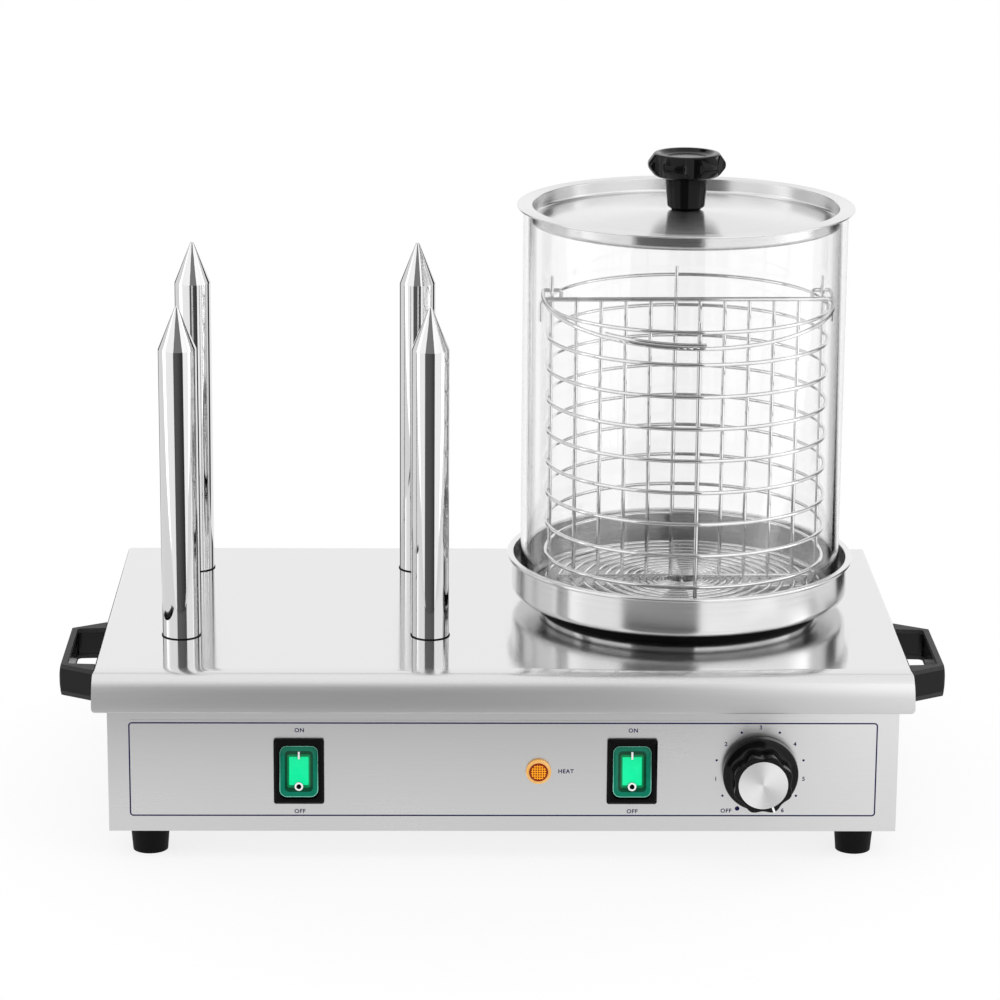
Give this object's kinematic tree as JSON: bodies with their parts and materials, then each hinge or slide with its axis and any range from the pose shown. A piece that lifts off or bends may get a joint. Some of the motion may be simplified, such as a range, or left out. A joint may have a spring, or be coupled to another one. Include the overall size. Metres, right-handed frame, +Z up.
{
  "type": "hot dog toaster",
  "caption": "Counter-top hot dog toaster: steel base with four heated spikes and a glass sausage steamer.",
  "frame": {"origin": "centre of the whole outline on the plane that the feet stand on", "axes": "+Z up, +X to the right of the control panel, +Y towards the back"},
  "size_m": [0.5316, 0.322, 0.4012],
  "materials": {
    "satin_steel": "satin",
    "polished_wire": "polished",
    "mirror_steel": "mirror polished",
    "zinc_hardware": "zinc plated",
    "heater_steel": "oxidised",
    "copper_alloy": "bare",
    "borosilicate": "clear",
    "black_bakelite": "gloss",
    "black_nylon": "fine texture",
    "black_rubber": "matt",
    "switch_black": "satin",
    "green_lens": "translucent",
    "amber_lens": "translucent",
    "spun_aluminium": "spun",
    "white_ceramic": "matt",
    "lead_insulation": "matt"
  },
  "bodies": {
    "base": {"base_casing": "satin_steel", "bottom_cover": "satin_steel", "top_plate": "satin_steel", "cover_screws": "zinc_hardware", "foot_front_left": "black_rubber", "foot_front_right": "black_rubber", "foot_rear_left": "black_rubber", "foot_rear_right": "black_rubber", "foot_screws": "zinc_hardware", "foot_nuts": "zinc_hardware", "handle_left": "black_nylon", "handle_right": "black_nylon", "handle_screws": "zinc_hardware", "handle_spacers": "zinc_hardware", "spike_front_left": "mirror_steel", "spike_front_right": "mirror_steel", "spike_rear_left": "mirror_steel", "spike_rear_right": "mirror_steel", "spike_collars": "black_rubber", "spike_nuts": "zinc_hardware", "heater_cartridges": "heater_steel", "water_pan": "satin_steel", "pan_seat_ring": "black_rubber", "pan_heating_element": "heater_steel", "pan_stud": "zinc_hardware", "pan_nut_and_washer": "zinc_hardware", "thermal_cutout": "switch_black", "sensing_bulb": "heater_steel", "capillary_tube": "copper_alloy", "control_label": "spun_aluminium", "switch_housing_left": "switch_black", "switch_housing_right": "switch_black", "switch_blades": "copper_alloy", "heat_lamp_barrel": "amber_lens", "heat_lamp_lens": "amber_lens", "heat_lamp_nut": "zinc_hardware", "thermostat_body": "switch_black", "thermostat_screws": "zinc_hardware", "cable_gland": "black_nylon", "cable_gland_nut": "black_nylon", "terminal_block": "white_ceramic", "terminal_block_screws": "zinc_hardware", "earth_stud": "zinc_hardware", "earth_stud_nut": "zinc_hardware", "internal_leads": "lead_insulation"},
    "glass": {"glass_cylinder": "borosilicate"},
    "basket": {"basket_rings": "polished_wire", "basket_frames": "polished_wire", "basket_floor": "polished_wire", "basket_divider": "polished_wire"},
    "bail": {"basket_bail": "polished_wire"},
    "lid_assembly": {"lid": "satin_steel", "lid_knob": "black_bakelite", "lid_screw_and_washer": "zinc_hardware"},
    "dial_assembly": {"control_knob": "black_bakelite", "control_knob_cap": "spun_aluminium", "thermostat_shaft": "zinc_hardware"},
    "left_rocker": {"rocker_left": "green_lens"},
    "right_rocker": {"rocker_right": "green_lens"}
  },
  "joints": [
    {"name": "glass_lift", "type": "slide", "parent": "base", "child": "glass", "axis": [0, 0, 1], "range_m": [0, 0.1]},
    {"name": "basket_lift", "type": "slide", "parent": "glass", "child": "basket", "axis": [0, 0, 1], "range_m": [0, 0.25]},
    {"name": "lid_lift", "type": "slide", "parent": "basket", "child": "lid_assembly", "axis": [0, 0, 1], "range_m": [0, 0.18]},
    {"name": "bail_swing", "type": "hinge", "parent": "basket", "child": "bail", "pos_m": [0.1151, 0.02755, 0.3145], "axis": [-0.9998, -0.0218, 0], "range_deg": [0, 100]},
    {"name": "thermostat_turn", "type": "hinge", "parent": "base", "child": "dial_assembly", "pos_m": [0.1528, -0.135, 0.0559], "axis": [0, -1, 0], "range_deg": [0, 307]},
    {"name": "left_switch", "type": "hinge", "parent": "base", "child": "left_rocker", "pos_m": [-0.1216, -0.134, 0.0559], "axis": [1, 0, 0], "range_deg": [0, 16]},
    {"name": "right_switch", "type": "hinge", "parent": "base", "child": "right_rocker", "pos_m": [0.0766, -0.134, 0.0559], "axis": [1, 0, 0], "range_deg": [0, 16]}
  ],
  "couplings": [
    {"joint": "bail_swing", "follows": "lid_lift", "rad_per_m": 9.691}
  ]
}
